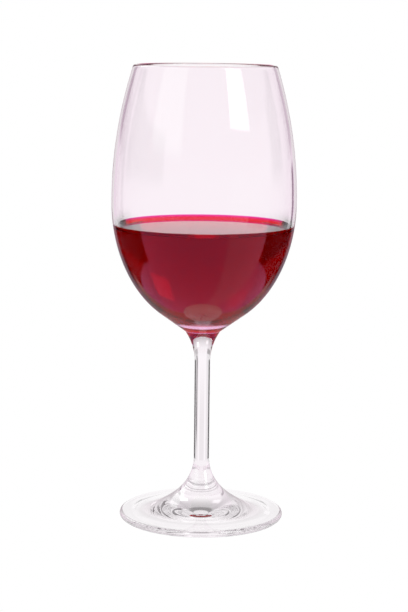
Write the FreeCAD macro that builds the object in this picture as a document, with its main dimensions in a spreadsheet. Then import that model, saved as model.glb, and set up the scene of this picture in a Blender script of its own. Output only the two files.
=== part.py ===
import FreeCAD, Part
import math
import os

import Sketcher

# A stemmed wine glass with a pour of red wine in it, in millimetres.
# Both pieces are turned shapes about Z. The glass stands on Z = 0, and the origin is the middle of its foot.

SIZES = (
    ("foot_radius", 41.0, "middle of the foot to its edge"),
    ("foot_edge", 3.4, "thickness of the foot at its edge, which is fully rounded"),
    ("foot_rise", 26.5, "how far the top of the foot sweeps up to the stem"),
    ("foot_hollow", 3.6, "depth of the hollow under the foot"),
    ("standing_ring", 4.0, "width of the flat ring that the glass stands on"),
    ("stem_radius", 3.85, "radius of the straight stem"),
    ("stem_length", 66.4, "top of the foot's sweep to the lowest point of the bowl's whole oval"),
    ("flare_height", 15.6, "height over which the stem widens to the neck, where it meets the bowl"),
    ("neck_radius", 8.8, "radius of the neck"),
    ("neck_round", 0.8, "rounding of the inside corner at the neck"),
    ("cone_reach", 21.0, "distance from the axis where the bowl's oval ends and its cone to the neck starts"),
    ("bowl_lower", 62.7, "height of the bowl below its widest point, an oval quarter outside"),
    ("bowl_upper", 67.0, "height of the bowl above its widest point, one arc that closes in"),
    ("belly_radius", 45.6, "outer radius of the bowl at its widest point"),
    ("mouth_radius", 35.0, "outer radius of the bowl at the rim"),
    ("wall", 2.2, "thickness of the bowl's wall from the widest point up"),
    ("bowl_floor", 5.6, "thickness of glass between the bowl's oval and the drink, on the axis"),
    ("rim_round", 0.95, "rounding of both edges of the rim"),
    ("wine_depth", 44.4, "depth of the wine on the axis"),
    ("meniscus_rise", 2.0, "how far the wine climbs the wall"),
    ("meniscus_width", 2.8, "how far from the wall the wine starts to climb"),
)

# Heights and radii that follow from the sizes, as expressions for the sketches.
STEM_BASE = "(sizes.foot_edge + sizes.foot_rise)"
BOWL_BASE = f"({STEM_BASE} + sizes.stem_length)"
BELLY_HEIGHT = f"({BOWL_BASE} + sizes.bowl_lower)"
RIM_HEIGHT = f"({BELLY_HEIGHT} + sizes.bowl_upper)"
EDGE_CENTRE = "(sizes.foot_radius - sizes.foot_edge / 2)"
RING_INNER = f"({EDGE_CENTRE} - sizes.standing_ring)"

# Below the oval the bowl is a cone, tangent to it, down to the neck. The flare is an arc that ends
# there and is upright where it leaves the stem.
CONE_SHARE = "sqrt(1 - (sizes.cone_reach / sizes.belly_radius)^2)"
CONE_TOP = f"({BELLY_HEIGHT} - sizes.bowl_lower * {CONE_SHARE})"
CONE_SLOPE = f"(sizes.bowl_lower * sizes.cone_reach / (sizes.belly_radius^2 * {CONE_SHARE}))"
NECK_HEIGHT = f"({CONE_TOP} - {CONE_SLOPE} * (sizes.cone_reach - sizes.neck_radius))"
FLARE_BASE = f"({NECK_HEIGHT} - sizes.flare_height)"
NECK_ROUND = "min(sizes.neck_round; 0.3 * (sizes.neck_radius - sizes.stem_radius))"

# The inside of the bowl keeps the wall's thickness above the belly and is an oval of its own below it.
CLOSING_IN = "(sizes.belly_radius - sizes.mouth_radius)"
UPPER_ARC = f"(({CLOSING_IN}^2 + sizes.bowl_upper^2) / (2 * {CLOSING_IN}))"
UPPER_CENTRE = f"(sizes.belly_radius - {UPPER_ARC})"
INNER_BELLY = "(sizes.belly_radius - sizes.wall)"
INNER_DEPTH = "(sizes.bowl_lower - sizes.bowl_floor)"
INNER_BASE = f"({BOWL_BASE} + sizes.bowl_floor)"
INNER_MOUTH = f"({UPPER_CENTRE} + sqrt(({UPPER_ARC} - sizes.wall)^2 - sizes.bowl_upper^2))"
RIM_ROUND = "min(sizes.rim_round; 0.45 * sizes.wall)"

# The wine lies flat across the middle and climbs the wall in an arc.
WINE_LEVEL = f"({INNER_BASE} + sizes.wine_depth)"
WINE_EDGE = f"({WINE_LEVEL} + sizes.meniscus_rise)"
EDGE_IN_OVAL = f"({INNER_BELLY} * sqrt(abs(1 - (({BELLY_HEIGHT} - {WINE_EDGE}) / {INNER_DEPTH})^2)))"
EDGE_IN_ARC = f"({UPPER_CENTRE} + sqrt(abs(({UPPER_ARC} - sizes.wall)^2 - ({WINE_EDGE} - {BELLY_HEIGHT})^2)))"
WINE_RADIUS = f"({WINE_EDGE} < {BELLY_HEIGHT} ? {EDGE_IN_OVAL} : {EDGE_IN_ARC})"
LEVEL_RADIUS = f"({WINE_RADIUS} - sizes.meniscus_width)"

START, END, CENTRE = 1, 2, 3
ORIGIN, ACROSS_AXIS, UP_AXIS = (-1, 1), -1, -2


def make_sheet(doc):
    """The driving dimensions, one row each: its meaning and its value."""
    sheet = doc.addObject("Spreadsheet::Sheet", "sizes")
    for row, (name, value, meaning) in enumerate(SIZES, start=1):
        sheet.set(f"A{row}", meaning)
        sheet.set(f"B{row}", str(value))
        sheet.setAlias(f"B{row}", name)
    doc.recompute()
    return sheet


class Section:
    """A closed half outline in the XZ plane, whose named points are (distance from the axis, height)."""

    def __init__(self, body, name, points):
        planes = body.Origin.OriginFeatures
        self.sketch = body.newObject("Sketcher::SketchObject", name)
        self.sketch.AttachmentSupport = [(plane, "") for plane in planes if plane.Role == "XZ_Plane"]
        self.sketch.MapMode = "FlatFace"
        self.points = points
        self.held = {}

    def value(self, expression):
        return float(self.sketch.evalExpression(expression))

    def spot(self, name):
        across, up = self.points[name]
        return FreeCAD.Vector(self.value(across), self.value(up), 0)

    def measure(self, kind, curve, end, expression):
        """Hold one coordinate of a curve's point at an expression's value."""
        if expression == "0":
            axis = UP_AXIS if kind == "DistanceX" else ACROSS_AXIS
            self.sketch.addConstraint(Sketcher.Constraint("PointOnObject", curve, end, axis))
            return
        value = self.value(expression)
        index = self.sketch.addConstraint(Sketcher.Constraint(kind, *ORIGIN, curve, end, value))
        self.sketch.setExpression(f"Constraints[{index}]", expression)

    def hold(self, curve, end, name):
        """Put a curve's end on a named point: measured the first time, coincident after that."""
        if name in self.held:
            self.sketch.addConstraint(Sketcher.Constraint("Coincident", curve, end, *self.held[name]))
            return
        self.held[name] = (curve, end)
        across, up = self.points[name]
        self.measure("DistanceX", curve, end, across)
        self.measure("DistanceY", curve, end, up)

    def line(self, start, end):
        curve = self.sketch.addGeometry(Part.LineSegment(self.spot(start), self.spot(end)))
        self.hold(curve, START, start)
        self.hold(curve, END, end)

    def arc(self, start, end, across=None, up=None):
        """An arc drawn anticlockwise, with one coordinate of its centre given."""
        first, last = self.spot(start), self.spot(end)
        step = last - first
        middle = (first + last) / 2
        if across is not None:
            x = self.value(across)
            centre = FreeCAD.Vector(x, middle.y + (middle.x - x) * step.x / step.y, 0)
        else:
            y = self.value(up)
            centre = FreeCAD.Vector(middle.x + (middle.y - y) * step.y / step.x, y, 0)
        circle = Part.Circle(centre, FreeCAD.Vector(0, 0, 1), (first - centre).Length)
        ends = (circle.parameter(first), circle.parameter(last))
        curve = self.sketch.addGeometry(Part.ArcOfCircle(circle, *ends))
        self.hold(curve, START, start)
        self.hold(curve, END, end)
        if across is not None:
            self.measure("DistanceX", curve, CENTRE, across)
        else:
            self.measure("DistanceY", curve, CENTRE, up)

    def oval(self, start, end, centre, upright):
        """Part of an oval drawn anticlockwise about a named centre, with its long axis upright or level."""
        first, last, middle = self.spot(start), self.spot(end), self.spot(centre)
        across, up = half_axes(first - middle, last - middle)
        if upright:
            long_end, short_end = FreeCAD.Vector(0, up, 0), FreeCAD.Vector(-across, 0, 0)
        else:
            long_end, short_end = FreeCAD.Vector(across, 0, 0), FreeCAD.Vector(0, up, 0)
        ellipse = Part.Ellipse(middle + long_end, middle + short_end, middle)
        ends = (ellipse.parameter(first), ellipse.parameter(last))
        curve = self.sketch.addGeometry(Part.ArcOfEllipse(ellipse, *ends))
        axis = self.sketch.addGeometry(Part.LineSegment(middle + long_end, middle - long_end), True)
        alignment = "InternalAlignment:EllipseMajorDiameter"
        self.sketch.addConstraint(Sketcher.Constraint(alignment, axis, curve))
        self.sketch.addConstraint(Sketcher.Constraint("Vertical" if upright else "Horizontal", axis))
        self.hold(curve, START, start)
        self.hold(curve, END, end)
        self.hold(curve, CENTRE, centre)


def half_axes(first, last):
    """The half axes of a level oval about the origin that passes through two points."""
    spread = first.x**2 * last.y**2 - last.x**2 * first.y**2
    across = math.sqrt(spread / (last.y**2 - first.y**2))
    up = math.sqrt(spread / (first.x**2 - last.x**2))
    return across, up


def turn(body, kind, name, section):
    """Turn a section about the axis, to add to the body or to cut from it."""
    feature = body.newObject(kind, name)
    feature.Profile = (section.sketch, [""])
    feature.ReferenceAxis = (section.sketch, ["V_Axis"])
    feature.Angle = 360
    section.sketch.Document.recompute()
    return feature


def outside_section(body):
    """Foot, stem and bowl as one solid outline."""
    section = Section(body, "outside_section", {
        "stand_middle": ("0", "0"),
        "stand_edge": (EDGE_CENTRE, "0"),
        "foot_top_edge": (EDGE_CENTRE, "sizes.foot_edge"),
        "sweep_centre": (EDGE_CENTRE, STEM_BASE),
        "stem_base": ("sizes.stem_radius", STEM_BASE),
        "flare_base": ("sizes.stem_radius", FLARE_BASE),
        "neck": ("sizes.neck_radius", NECK_HEIGHT),
        "cone_top": ("sizes.cone_reach", CONE_TOP),
        "belly": ("sizes.belly_radius", BELLY_HEIGHT),
        "belly_middle": ("0", BELLY_HEIGHT),
        "rim": ("sizes.mouth_radius", RIM_HEIGHT),
        "rim_middle": ("0", RIM_HEIGHT),
    })
    section.line("stand_middle", "stand_edge")
    section.arc("stand_edge", "foot_top_edge", across=EDGE_CENTRE)
    section.oval("stem_base", "foot_top_edge", "sweep_centre", upright=False)
    section.line("stem_base", "flare_base")
    section.arc("neck", "flare_base", up=FLARE_BASE)
    section.line("neck", "cone_top")
    section.oval("cone_top", "belly", "belly_middle", upright=True)
    section.arc("belly", "rim", up=BELLY_HEIGHT)
    section.line("rim", "rim_middle")
    section.line("rim_middle", "stand_middle")
    return section


def cavity_section(body, name):
    """The inside of the bowl, from its floor to the rim. The glass is cut by it and the wine fills it."""
    section = Section(body, name, {
        "floor": ("0", INNER_BASE),
        "belly": (INNER_BELLY, BELLY_HEIGHT),
        "belly_middle": ("0", BELLY_HEIGHT),
        "mouth": (INNER_MOUTH, RIM_HEIGHT),
        "mouth_middle": ("0", RIM_HEIGHT),
    })
    section.oval("floor", "belly", "belly_middle", upright=True)
    section.arc("belly", "mouth", up=BELLY_HEIGHT)
    section.line("mouth", "mouth_middle")
    section.line("mouth_middle", "floor")
    return section


def hollow_section(body):
    """The shallow dome under the foot."""
    section = Section(body, "hollow_section", {
        "middle": ("0", "0"),
        "ring": (RING_INNER, "0"),
        "crown": ("0", "sizes.foot_hollow"),
    })
    section.line("middle", "ring")
    section.arc("ring", "crown", across="0")
    section.line("crown", "middle")
    return section


def free_space_section(body):
    """Everything in the bowl above the wine, with the wine's climb at the wall left standing."""
    section = Section(body, "free_space_section", {
        "level_middle": ("0", WINE_LEVEL),
        "level_edge": (LEVEL_RADIUS, WINE_LEVEL),
        "wine_edge": (WINE_RADIUS, WINE_EDGE),
        "outside_low": ("sizes.belly_radius", WINE_EDGE),
        "outside_high": ("sizes.belly_radius", RIM_HEIGHT),
        "rim_middle": ("0", RIM_HEIGHT),
    })
    section.line("level_middle", "level_edge")
    section.line("level_edge", "wine_edge")
    section.line("wine_edge", "outside_low")
    section.line("outside_low", "outside_high")
    section.line("outside_high", "rim_middle")
    section.line("rim_middle", "level_middle")
    return section


def level_edges(shape, height):
    """The names of the round edges that lie level at a height."""
    edges = enumerate(shape.Edges, start=1)
    return [f"Edge{number}" for number, edge in edges if is_level_at(edge, height)]


def is_level_at(edge, height, tolerance=1e-6):
    box = edge.BoundBox
    return abs(box.ZMin - height) < tolerance and abs(box.ZMax - height) < tolerance


def round_edges(body, name, feature, height, radius):
    """Round the edges of a feature that lie level at a height."""
    fillet = body.newObject("PartDesign::Fillet", name)
    fillet.Base = (feature, level_edges(feature.Shape, float(fillet.evalExpression(height))))
    fillet.setExpression("Radius", radius)
    body.Document.recompute()
    return fillet


def make_glass(doc):
    """The whole glass, which is one piece: turned outside, rounded neck, cavity, hollow foot, rounded rim."""
    body = doc.addObject("PartDesign::Body", "glass")
    body.Label = "glass"
    outside = turn(body, "PartDesign::Revolution", "outside", outside_section(body))
    neck = round_edges(body, "neck", outside, NECK_HEIGHT, NECK_ROUND)
    cavity = turn(body, "PartDesign::Groove", "cavity", cavity_section(body, "cavity_section"))
    hollow = turn(body, "PartDesign::Groove", "hollow", hollow_section(body))
    rim = round_edges(body, "rim", hollow, RIM_HEIGHT, RIM_ROUND)
    return body, (neck, cavity, hollow, rim)


def make_wine(doc):
    """The wine: the bowl's inside filled to the rim, less the free space above the pour."""
    body = doc.addObject("PartDesign::Body", "wine")
    body.Label = "wine"
    fill = turn(body, "PartDesign::Revolution", "fill", cavity_section(body, "fill_section"))
    pour = turn(body, "PartDesign::Groove", "pour", free_space_section(body))
    return body, (fill, pour)


def check(doc, body, features):
    """Stop if anything failed, or if a feature that should take material away took none."""
    for item in doc.Objects:
        if {"Invalid", "Error"} & set(item.State):
            raise RuntimeError(f"{item.Name} failed: {item.State}")
    for before, after in zip(features, features[1:]):
        if not after.Shape.Volume < before.Shape.Volume:
            raise RuntimeError(f"{after.Name} took nothing away")
    if body.Shape.isNull() or not body.Shape.isValid() or len(body.Shape.Solids) != 1:
        raise RuntimeError(f"{body.Label} is not one valid solid")


def main():
    doc = FreeCAD.newDocument("glass_of_red_wine")
    make_sheet(doc)
    pieces = [make_glass(doc), make_wine(doc)]
    for body, features in pieces:
        check(doc, body, features)
    os.makedirs("parts", exist_ok=True)
    for body, features in pieces:
        body.Shape.exportStep(f"parts/{body.Label}.step")
        box = body.Shape.BoundBox
        print(f"{body.Label}: {body.Shape.Volume / 1000:.2f} cm3, Z {box.ZMin:.2f} to {box.ZMax:.2f}")


main()
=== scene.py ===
import math

import bpy
from mathutils import Matrix, Vector


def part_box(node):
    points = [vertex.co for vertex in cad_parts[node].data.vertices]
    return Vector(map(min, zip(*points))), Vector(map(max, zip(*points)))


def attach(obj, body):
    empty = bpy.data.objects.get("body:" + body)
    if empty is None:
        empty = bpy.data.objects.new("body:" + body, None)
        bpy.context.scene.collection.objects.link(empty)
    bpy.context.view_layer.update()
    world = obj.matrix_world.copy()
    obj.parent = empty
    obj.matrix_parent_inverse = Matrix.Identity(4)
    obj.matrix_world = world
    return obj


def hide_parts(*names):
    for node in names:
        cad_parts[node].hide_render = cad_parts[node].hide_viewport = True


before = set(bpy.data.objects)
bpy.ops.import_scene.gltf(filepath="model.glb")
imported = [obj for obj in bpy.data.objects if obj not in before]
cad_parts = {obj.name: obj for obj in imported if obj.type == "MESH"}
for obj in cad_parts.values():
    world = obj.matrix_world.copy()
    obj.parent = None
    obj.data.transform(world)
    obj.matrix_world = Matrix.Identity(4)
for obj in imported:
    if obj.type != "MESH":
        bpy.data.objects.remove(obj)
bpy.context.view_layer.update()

# A stemmed glass of red wine. Both pieces are turned about Z, as the real ones are.
# Metres, in the frame's own axes. The belly, the rim and the wine's two ends are read from the frame.
MM = 0.001
BELLY_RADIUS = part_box("glass")[1].y
RIM_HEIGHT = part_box("glass")[1].z
WINE_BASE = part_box("wine")[0].z
WINE_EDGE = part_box("wine")[1].z

FOOT_RADIUS = 41.0 * MM
FOOT_EDGE = 3.4 * MM  # thickness at the round edge
FOOT_RISE = 26.5 * MM
FOOT_HOLLOW = 3.6 * MM
STANDING_RING = 4.0 * MM
STEM_RADIUS = 3.85 * MM
FLARE_HEIGHT = 15.6 * MM
NECK_RADIUS = 8.8 * MM
NECK_ROUND = 0.8 * MM
CONE_REACH = 21.0 * MM
BOWL_LOWER = 62.7 * MM
BOWL_UPPER = 67.0 * MM
MOUTH_RADIUS = 35.0 * MM
WALL = 2.2 * MM
BOWL_FLOOR = 5.6 * MM
RIM_ROUND = 0.95 * MM
MENISCUS_RISE = 2.0 * MM
MENISCUS_WIDTH = 2.8 * MM
WETTING = 0.04 * MM  # how far the wine reaches into the wall, so that no air shows between them

STEM_BASE = FOOT_EDGE + FOOT_RISE
EDGE_CENTRE = FOOT_RADIUS - FOOT_EDGE / 2
BELLY_HEIGHT = RIM_HEIGHT - BOWL_UPPER
WINE_LEVEL = WINE_EDGE - MENISCUS_RISE
UPPER_ARC = ((BELLY_RADIUS - MOUTH_RADIUS) ** 2 + BOWL_UPPER**2) / (2 * (BELLY_RADIUS - MOUTH_RADIUS))
INNER_RADIUS = BELLY_RADIUS - WALL
INNER_DEPTH = BELLY_HEIGHT - WINE_BASE

HALF_TURN = math.pi
QUARTER_TURN = math.pi / 2

# Steps round the axis, and along each stretch of the outlines.
SEGMENTS = 240
DOME_STEPS = 30
RING_STEPS = 6
EDGE_STEPS = 24
FOOT_STEPS = 72
FLARE_STEPS = 36
NECK_STEPS = 12
LOWER_STEPS = 48
UPPER_STEPS = 40
RIM_STEPS = 20
INSIDE_STEPS = 84
WINE_STEPS = 96
CLIMB_STEPS = 12
LEVEL_STEPS = 24
HALVINGS = 60  # tries at the place of the neck's round
ON_AXIS = 1e-7
SHARP_ANGLE = math.radians(30)


# ---- outlines: lists of (distance from the axis, height) ----


def sweep(start, end, steps):
    """Evenly spaced values from start to end."""
    return [start + (end - start) * i / steps for i in range(steps + 1)]


def oval(centre, across, up, start, end, steps):
    """Points along an oval, by its angle from the outward direction."""
    return [
        (centre[0] + across * math.cos(a), centre[1] + up * math.sin(a)) for a in sweep(start, end, steps)
    ]


def under_foot():
    """The hollow's dome from the axis out, the flat ring, and the round edge up to the top of the foot."""
    ring_inner = EDGE_CENTRE - STANDING_RING
    radius = (ring_inner**2 + FOOT_HOLLOW**2) / (2 * FOOT_HOLLOW)
    spread = math.asin(ring_inner / radius)
    dome_centre = (0, FOOT_HOLLOW - radius)
    dome = oval(dome_centre, radius, radius, QUARTER_TURN, QUARTER_TURN - spread, DOME_STEPS)
    ring = [(r, 0.0) for r in sweep(ring_inner, EDGE_CENTRE, RING_STEPS)]
    half = FOOT_EDGE / 2
    edge = oval((EDGE_CENTRE, half), half, half, -QUARTER_TURN, QUARTER_TURN, EDGE_STEPS)
    return dome + ring[1:] + edge[1:]


def over_foot():
    """The sweep from the foot's edge up to the stem: a quarter of an oval."""
    centre = (EDGE_CENTRE, STEM_BASE)
    return oval(centre, EDGE_CENTRE - STEM_RADIUS, FOOT_RISE, -QUARTER_TURN, -HALF_TURN, FOOT_STEPS)


def bowl_slope(reach):
    """Height and slope of the bowl's outer oval at a distance from the axis."""
    share = math.sqrt(1 - (reach / BELLY_RADIUS) ** 2)
    return BELLY_HEIGHT - BOWL_LOWER * share, BOWL_LOWER * reach / (BELLY_RADIUS**2 * share)


def flare():
    """The stem's flare, upright at the stem, and the small round where it meets the bowl's cone."""
    cone_top, slope = bowl_slope(CONE_REACH)
    neck = (NECK_RADIUS, cone_top - slope * (CONE_REACH - NECK_RADIUS))
    widening = NECK_RADIUS - STEM_RADIUS
    radius = (FLARE_HEIGHT**2 + widening**2) / (2 * widening)
    flare_centre = (STEM_RADIUS + radius, neck[1] - FLARE_HEIGHT)
    # the round touches the flare's arc from inside the arc's circle, and the cone from below
    lean = math.atan(slope)
    low, high = 0.0, FLARE_HEIGHT
    for _ in range(HALVINGS):
        rise = (low + high) / 2
        angle = HALF_TURN - math.asin(rise / radius)
        spot = (flare_centre[0] + radius * math.cos(angle), flare_centre[1] + radius * math.sin(angle))
        inward = (flare_centre[0] - spot[0], flare_centre[1] - spot[1])
        centre = (spot[0] + inward[0] * NECK_ROUND / radius, spot[1] + inward[1] * NECK_ROUND / radius)
        above = neck[1] + slope * (centre[0] - NECK_RADIUS) - centre[1]
        if above * math.cos(lean) > NECK_ROUND:
            low = rise
        else:
            high = rise
    arc = oval(flare_centre, radius, radius, HALF_TURN, angle, FLARE_STEPS)
    rounded = oval(centre, NECK_ROUND, NECK_ROUND, angle, QUARTER_TURN + lean, NECK_STEPS)
    return arc + rounded[1:]


def upper_wall(arc):
    """The wall from the belly up to where the rim's rounding starts, on an arc of that radius."""
    centre = (BELLY_RADIUS - UPPER_ARC, BELLY_HEIGHT)
    return oval(centre, arc, arc, 0, math.asin((BOWL_UPPER - RIM_ROUND) / arc), UPPER_STEPS)


def bowl_outside():
    """The bowl's cone and oval up to the belly, then the arc that closes in to the rim."""
    start = math.acos(CONE_REACH / BELLY_RADIUS)
    lower = oval((0, BELLY_HEIGHT), BELLY_RADIUS, BOWL_LOWER, -start, 0, LOWER_STEPS)
    return lower + upper_wall(UPPER_ARC)[1:]


def rim():
    """The rounded rim, from the outside over to the inside, leaning in with the wall."""
    outer, base = upper_wall(UPPER_ARC)[-1]
    inner = upper_wall(UPPER_ARC - WALL)[-1][0]
    lean = (BOWL_UPPER - RIM_ROUND) / math.sqrt(UPPER_ARC**2 - (BOWL_UPPER - RIM_ROUND) ** 2)
    over = oval(((outer + inner) / 2, base), (outer - inner) / 2, RIM_ROUND, 0, HALF_TURN, RIM_STEPS)
    return [(r - lean * (height - base), height) for r, height in over]


def bowl_inside():
    """The inside of the bowl from the rim down to the floor."""
    lower = oval((0, BELLY_HEIGHT), INNER_RADIUS, INNER_DEPTH, 0, -QUARTER_TURN, INSIDE_STEPS)
    return upper_wall(UPPER_ARC - WALL)[::-1] + lower[1:]


def glass_outline():
    """The whole glass, from under the foot, up the outside, over the rim and down to the bowl's floor."""
    return under_foot() + over_foot()[1:] + flare() + bowl_outside() + rim()[1:-1] + bowl_inside()


def wine_outline():
    """The wine from the floor up inside the wall, down the meniscus and across the level."""
    edge_angle = math.asin((WINE_EDGE - BELLY_HEIGHT) / INNER_DEPTH)
    edge_radius = INNER_RADIUS * math.cos(edge_angle)
    across, down = INNER_RADIUS + WETTING, INNER_DEPTH + WETTING
    side = oval((0, BELLY_HEIGHT), across, down, -QUARTER_TURN, edge_angle, WINE_STEPS)
    level_edge = edge_radius - MENISCUS_WIDTH
    climb_radii = sweep(edge_radius, level_edge, CLIMB_STEPS)
    climb = list(zip(climb_radii, sweep(WINE_EDGE, WINE_LEVEL, CLIMB_STEPS)))
    level = [(r, WINE_LEVEL) for r in sweep(level_edge, 0.0, LEVEL_STEPS)]
    return side + climb + level[1:]


# ---- meshes ----


def lathe(name, outline):
    """Turn an outline, which starts and ends on the axis, into a closed smooth mesh."""
    vertices, faces, rings = [], [], []
    for radius, height in outline:
        count = 1 if abs(radius) < ON_AXIS else SEGMENTS
        rings.append(range(len(vertices), len(vertices) + count))
        for i in range(count):
            angle = 2 * math.pi * i / SEGMENTS
            vertices.append((radius * math.cos(angle), radius * math.sin(angle), height))
    for lower, upper in zip(rings, rings[1:]):
        for i in range(SEGMENTS):
            j = (i + 1) % SEGMENTS
            below = [lower[i % len(lower)], lower[j % len(lower)]]
            above = [upper[j % len(upper)], upper[i % len(upper)]]
            # a ring of one point, on the axis, gives a triangle
            faces.append(list(dict.fromkeys(below + above)))
    mesh = bpy.data.meshes.new(name)
    mesh.from_pydata(vertices, [], faces)
    mesh.validate()
    mesh.shade_smooth()
    mesh.set_sharp_from_angle(angle=SHARP_ANGLE)
    piece = bpy.data.objects.new(name, mesh)
    bpy.context.scene.collection.objects.link(piece)
    return piece


# ---- shader maths ----


class Value:
    """A socket in a node tree, so that shader maths can be written as plain expressions."""

    def __init__(self, nodes, socket):
        self.nodes = nodes
        self.socket = socket

    def maths(self, operation, *terms):
        return self.nodes.add("ShaderNodeMath", {"operation": operation}, dict(enumerate(terms)))

    def __add__(self, other):
        return self.maths("ADD", self, other)

    def __sub__(self, other):
        return self.maths("SUBTRACT", self, other)

    def __rsub__(self, other):
        return self.maths("SUBTRACT", other, self)

    def __mul__(self, other):
        return self.maths("MULTIPLY", self, other)

    def __abs__(self):
        return self.maths("ABSOLUTE", self)

    __radd__ = __add__
    __rmul__ = __mul__


class Nodes:
    """Adds nodes to the tree of a material or a world."""

    def __init__(self, owner):
        owner.use_nodes = True
        self.tree = owner.node_tree
        self.tree.nodes.clear()

    def add(self, kind, settings=None, inputs=None, output=0):
        """A node of that kind: its settings first, then the values or links of its sockets."""
        node = self.tree.nodes.new(kind)
        for name, value in (settings or {}).items():
            setattr(node, name, value)
        for name, value in (inputs or {}).items():
            if isinstance(value, Value):
                self.tree.links.new(value.socket, node.inputs[name])
            else:
                node.inputs[name].default_value = value
        return Value(self, node.outputs[output]) if len(node.outputs) else node

    def split(self, vector):
        """The three parts of a vector."""
        first = self.add("ShaderNodeSeparateXYZ", None, {"Vector": vector})
        return [Value(self, socket) for socket in first.socket.node.outputs]

    def step(self, value, low, high):
        """0 below low, 1 above high, smooth between."""
        limits = {"Value": value, "From Min": low, "From Max": high}
        return self.add("ShaderNodeMapRange", {"interpolation_type": "SMOOTHSTEP"}, limits)

    def band(self, value, limits, soft):
        """1 between two limits, 0 outside them, smooth across each."""
        low, high = limits
        return self.step(value, low - soft, low + soft) * (1 - self.step(value, high - soft, high + soft))

    def mix(self, factor, first, second):
        """A colour between two colours."""
        colours = {0: factor, 6: first, 7: second}
        return self.add("ShaderNodeMix", {"data_type": "RGBA"}, colours, output=2)

    def noise(self, scale, detail):
        """Noise in the object's own metres."""
        place = self.add("ShaderNodeTexCoord", output=3)
        return self.add("ShaderNodeTexNoise", None, {"Vector": place, "Scale": scale, "Detail": detail})


# ---- materials ----

BLACK = (0, 0, 0, 1)
WHITE = (1, 1, 1, 1)

GLASS_IOR = 1.5
GLASS_TINTS = ((0.995, 0.962, 0.983, 1), (0.988, 0.952, 0.975, 1))
GLASS_CLOUDS = 18.0
WALL_WAVES = 45.0
WAVE_HEIGHT = 0.4 * MM
WAVE_STRENGTH = 0.04

WINE_IOR = 1.342
WINE_TINTS = ((1.0, 1.0, 1.0, 1), (0.98, 0.98, 0.98, 1))
WINE_CLOUDS = 30.0
WINE_COLOUR = (0.9962, 0.0, 0.72, 1)
WINE_DENSITY = 5500.0


def cloudy_tint(nodes, scale, tints):
    """A colour that drifts softly between two near tints."""
    return nodes.mix(nodes.noise(scale, 1.0), tints[0], tints[1])


def clear_surface(nodes, tint, ior, finish):
    """A polished surface that light passes through."""
    sockets = {"Base Color": tint, "Roughness": 0.0, "IOR": ior, "Transmission Weight": 1.0}
    return nodes.add("ShaderNodeBsdfPrincipled", None, sockets | finish)


def clear_glass():
    """Clean polished soda glass with the faint waves of a drawn wall."""
    material = bpy.data.materials.new("clear_glass")
    nodes = Nodes(material)
    tint = cloudy_tint(nodes, GLASS_CLOUDS, GLASS_TINTS)
    waves = nodes.add("ShaderNodeBump", None, {
        "Strength": WAVE_STRENGTH, "Distance": WAVE_HEIGHT, "Height": nodes.noise(WALL_WAVES, 0.0)})
    surface = clear_surface(nodes, tint, GLASS_IOR, {"Normal": waves})
    nodes.add("ShaderNodeOutputMaterial", None, {"Surface": surface})
    return material


def wetted_glass():
    """The inside of the bowl under the wine, which hardly mirrors."""
    material = bpy.data.materials.new("wetted_glass")
    nodes = Nodes(material)
    tint = cloudy_tint(nodes, GLASS_CLOUDS, GLASS_TINTS)
    surface = clear_surface(nodes, tint, GLASS_IOR, {"Specular Tint": BLACK})
    nodes.add("ShaderNodeOutputMaterial", None, {"Surface": surface})
    return material


def red_wine():
    """A clear young red: the colour is in its depth."""
    material = bpy.data.materials.new("red_wine")
    nodes = Nodes(material)
    tint = cloudy_tint(nodes, WINE_CLOUDS, WINE_TINTS)
    surface = clear_surface(nodes, tint, WINE_IOR, {"Specular Tint": BLACK})
    depth = nodes.add("ShaderNodeVolumeAbsorption", None, {"Color": WINE_COLOUR, "Density": WINE_DENSITY})
    nodes.add("ShaderNodeOutputMaterial", None, {"Surface": surface, "Volume": depth})
    return material


def white_table():
    """A table as bright as the backdrop."""
    material = bpy.data.materials.new("white_table")
    nodes = Nodes(material)
    glow = nodes.add("ShaderNodeEmission", None, {"Color": WHITE, "Strength": 1.0})
    nodes.add("ShaderNodeOutputMaterial", None, {"Surface": glow})
    return material


# ---- pieces ----


def finish_piece(piece, node):
    """Ride the piece on the one body, in place of its node, which is hidden."""
    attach(piece, "root")
    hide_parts(node)


def inner_radius(height):
    """The inside radius of the bowl below the belly."""
    return INNER_RADIUS * math.sqrt(max(0.0, 1 - ((BELLY_HEIGHT - height) / INNER_DEPTH) ** 2))


def is_wetted(spot):
    """Whether a spot of the glass is on the inside of the bowl, under the wine."""
    on_inside = math.hypot(spot.x, spot.y) < inner_radius(spot.z) + WALL / 2
    return WINE_BASE - BOWL_FLOOR / 2 < spot.z < WINE_EDGE and on_inside


def make_glass():
    """The glass, with its own finish on the inside where the wine wets it."""
    piece = lathe("wine_glass", glass_outline())
    piece.data.materials.append(clear_glass())
    piece.data.materials.append(wetted_glass())
    for face in piece.data.polygons:
        face.material_index = 1 if is_wetted(face.center) else 0
    finish_piece(piece, "glass")


def make_wine():
    """The pour."""
    piece = lathe("wine_pour", wine_outline())
    piece.data.materials.append(red_wine())
    finish_piece(piece, "wine")


# ---- studio ----

# Brightness of each part of the studio as the glass gathers it.
BACKDROP = 1.0
LEFT_WING = 0.45
RIGHT_WING = 0.58
LOW_WING = 0.86
SIDE_FLAG = 0.08
HIGH_FLAG = 0.35
ROOM = 0.9
TABLE = 0.96
TABLE_EDGE = 0.87
CEILING = 0.3
LAMP = 0.85
UPWARD_DIMMING = 0.38
RIGHT_GLOW = 0.55
LEFT_GLOW = 0.25

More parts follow.
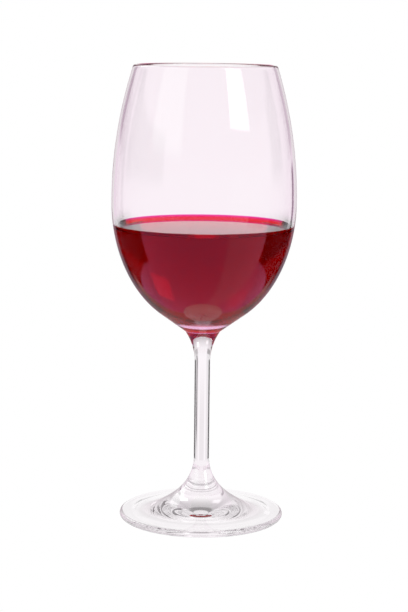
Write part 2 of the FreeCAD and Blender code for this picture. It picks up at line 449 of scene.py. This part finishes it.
# Colour of each part of the studio as the glass mirrors it.
MIRRORED_TABLE = (0.7, 0.26, 0.58, 1)
MIRRORED_WALL = (0.8, 0.42, 0.7, 1)
MIRRORED_FOOT = (0.36, 0.38, 0.38, 1)
MIRRORED_EDGE = (0.42, 0.3, 0.36, 1)
RIGHT_LIGHT = (4.0, 4.0, 4.0, 1)
LEFT_LIGHT = (1.6, 1.5, 1.6, 1)
BACK_LIGHT = (2.5, 2.5, 2.5, 1)

# A part's place is its turn from the backdrop, its rise above the table, and how soft its edges are.
# All are in degrees, and the parts later in a list lie over the earlier ones.
GATHERED_PARTS = (
    ((-22, 22), (-90, 90), 2.0, BACKDROP),
    ((-12, 12), (-20, -12), 1.5, TABLE_EDGE),
    ((-50, -22.5), (0, 8), 1.5, LEFT_WING),
    ((-50, -22.5), (-90, 0), 1.5, LOW_WING),
    ((22.5, 45), (-1, 8), 1.5, RIGHT_WING),
    ((22.5, 45), (-90, -1), 1.5, LOW_WING),
    ((28.5, 36), (-14, -2), 0.7, SIDE_FLAG),
    ((46, 122), (14, 90), 2.0, HIGH_FLAG),
    ((-72, -50), (14, 90), 2.0, HIGH_FLAG),
    ((44, 122), (-18, -8), 2.0, SIDE_FLAG),
    ((-74, -44), (-18, -8), 2.0, SIDE_FLAG),
)
DIMMED_RISE = (0, 36)
CEILING_RISE = (35, 41)
TABLE_RISE = (-20, -17)
LAMP_RING = ((-190, 190), (49, 73), 2.0)
RIGHT_GLOW_PLACE = ((13, 22), (10, 19), 0.8)
LEFT_GLOW_PLACE = ((-21, -12), (15, 24), 2.0)

RIGHT_WALL_PLACE = ((92, 147), (-90, 5), 1.0)
BLACK_WINGS_PLACE = ((26, 92), (-33, -9), 1.0)
BACKDROP_PLACES = (
    ((-30, 30), (-30, 90), 3.0, MIRRORED_EDGE),
    ((-9, 9), (-24, 90), 3.0, WHITE),
    ((-42, 42), (-66, -26), 3.0, MIRRORED_FOOT),
)
RIGHT_LIGHT_PLACE = ((118, 146), (10, 60), 0.6)
RIGHT_LIGHT_CORNER = (119, 13)
RIGHT_LIGHT_SLANT = 0.1
LEFT_LIGHT_PLACE = ((-150, -108), (9, 60), 3.0)
BACK_LIGHT_PLACE = ((-62, -30), (20, 50), 2.0)


def patch(nodes, turn, rise, place):
    """1 inside a part of the studio, 0 outside it."""
    sides, levels, soft = place
    return nodes.band(turn, sides, soft) * nodes.band(rise, levels, soft)


def changed(light, share, brightness):
    """The light, changed to a brightness by a share from 0 to 1."""
    return light + share * (brightness - light)


def gathered_light(nodes, turn, rise):
    """What shines through the glass."""
    light = ROOM
    for *place, brightness in GATHERED_PARTS:
        light = changed(light, patch(nodes, turn, rise, place), brightness)
    light = light * (1 - UPWARD_DIMMING * nodes.step(rise, *DIMMED_RISE))
    light = changed(light, nodes.step(rise, *CEILING_RISE), CEILING)
    light = changed(light, 1 - nodes.step(rise, *TABLE_RISE), TABLE)
    light = changed(light, patch(nodes, turn, rise, LAMP_RING), LAMP)
    light = light + RIGHT_GLOW * patch(nodes, turn, rise, RIGHT_GLOW_PLACE)
    return light + LEFT_GLOW * patch(nodes, turn, rise, LEFT_GLOW_PLACE)


def right_light(nodes, turn, rise):
    """The sharp light on the right, whose lower edge slants up from its corner."""
    corner_turn, corner_rise = RIGHT_LIGHT_CORNER
    above_edge = rise - corner_rise - RIGHT_LIGHT_SLANT * (turn - corner_turn)
    return nodes.step(above_edge, 0, 1) * patch(nodes, turn, rise, RIGHT_LIGHT_PLACE)


def mirrored_light(nodes, turn, rise):
    """What mirrors in the glass: a dim room and table, two black wings, and the soft lights."""
    colour = nodes.mix(patch(nodes, turn, rise, RIGHT_WALL_PLACE), MIRRORED_TABLE, MIRRORED_WALL)
    colour = nodes.mix(patch(nodes, abs(turn), rise, BLACK_WINGS_PLACE), colour, BLACK)
    for *place, shade in BACKDROP_PLACES:
        colour = nodes.mix(patch(nodes, turn, rise, place), colour, shade)
    colour = nodes.mix(right_light(nodes, turn, rise), colour, RIGHT_LIGHT)
    colour = nodes.mix(patch(nodes, turn, rise, LEFT_LIGHT_PLACE), colour, LEFT_LIGHT)
    return nodes.mix(patch(nodes, turn, rise, BACK_LIGHT_PLACE), colour, BACK_LIGHT)


def background(nodes, colour, strength):
    """Light from all round, of that colour and strength."""
    return nodes.add("ShaderNodeBackground", None, {"Color": colour, "Strength": strength})


def studio_world():
    """A white studio. The wings and lights show only through the glass and mirrored in it."""
    world = bpy.data.worlds.new("studio")
    bpy.context.scene.world = world
    nodes = Nodes(world)
    direction = nodes.add("ShaderNodeTexCoord", output="Generated")
    x, y, z = nodes.split(direction)
    turn = nodes.add("ShaderNodeMath", {"operation": "ARCTAN2"}, {0: x, 1: y}) * math.degrees(1)
    rise = nodes.add("ShaderNodeMath", {"operation": "ARCSINE"}, {0: z}) * math.degrees(1)
    through = background(nodes, WHITE, gathered_light(nodes, turn, rise))
    mirrored = background(nodes, mirrored_light(nodes, turn, rise), 1.0)
    seen = background(nodes, WHITE, 1.0)
    mirror_ray = nodes.add("ShaderNodeLightPath", output="Is Reflection Ray")
    direct_ray = nodes.add("ShaderNodeLightPath", output="Is Camera Ray")
    light = nodes.add("ShaderNodeMixShader", None, {0: mirror_ray, 1: through, 2: mirrored})
    light = nodes.add("ShaderNodeMixShader", None, {0: direct_ray, 1: light, 2: seen})
    nodes.add("ShaderNodeOutputWorld", None, {"Surface": light})


TABLE_REACH = 2.0


def floor():
    """A white table that runs out into the backdrop, and shows only where nothing is in front of it."""
    mesh = bpy.data.meshes.new("table")
    corners = [(x * TABLE_REACH, y * TABLE_REACH, 0) for x, y in ((-1, -1), (1, -1), (1, 1), (-1, 1))]
    mesh.from_pydata(corners, [], [(0, 1, 2, 3)])
    mesh.materials.append(white_table())
    table = bpy.data.objects.new("table", mesh)
    bpy.context.scene.collection.objects.link(table)
    table.visible_glossy = False
    table.visible_transmission = False
    table.visible_diffuse = False
    table.visible_shadow = False


SENSOR_WIDTH = 36
LENS = 102.0
CAMERA_PLACE = (0.0005, -0.850, 0.24605)
CAMERA_TILT = 9.278  # degrees down from level
CAMERA_ROLL = 0.62  # degrees


def camera():
    """A long lens a little above the rim, looking slightly down."""
    data = bpy.data.cameras.new("camera")
    data.sensor_fit = "AUTO"
    data.sensor_width = SENSOR_WIDTH
    data.lens = LENS
    eye = bpy.data.objects.new("camera", data)
    tilt = Matrix.Rotation(math.radians(90 - CAMERA_TILT), 4, "X")
    roll = Matrix.Rotation(math.radians(CAMERA_ROLL), 4, "Z")
    eye.matrix_world = Matrix.Translation(Vector(CAMERA_PLACE)) @ (tilt @ roll)
    bpy.context.scene.collection.objects.link(eye)
    bpy.context.scene.camera = eye


BOUNCES = 200


def light_paths():
    """Enough bounces for light to cross the bowl, the wine and the foot, and plain colours."""
    cycles = bpy.context.scene.cycles
    cycles.max_bounces = BOUNCES
    cycles.transmission_bounces = BOUNCES
    cycles.glossy_bounces = BOUNCES
    bpy.context.scene.view_settings.view_transform = "Standard"


camera()
light_paths()
studio_world()
floor()
make_glass()
make_wine()
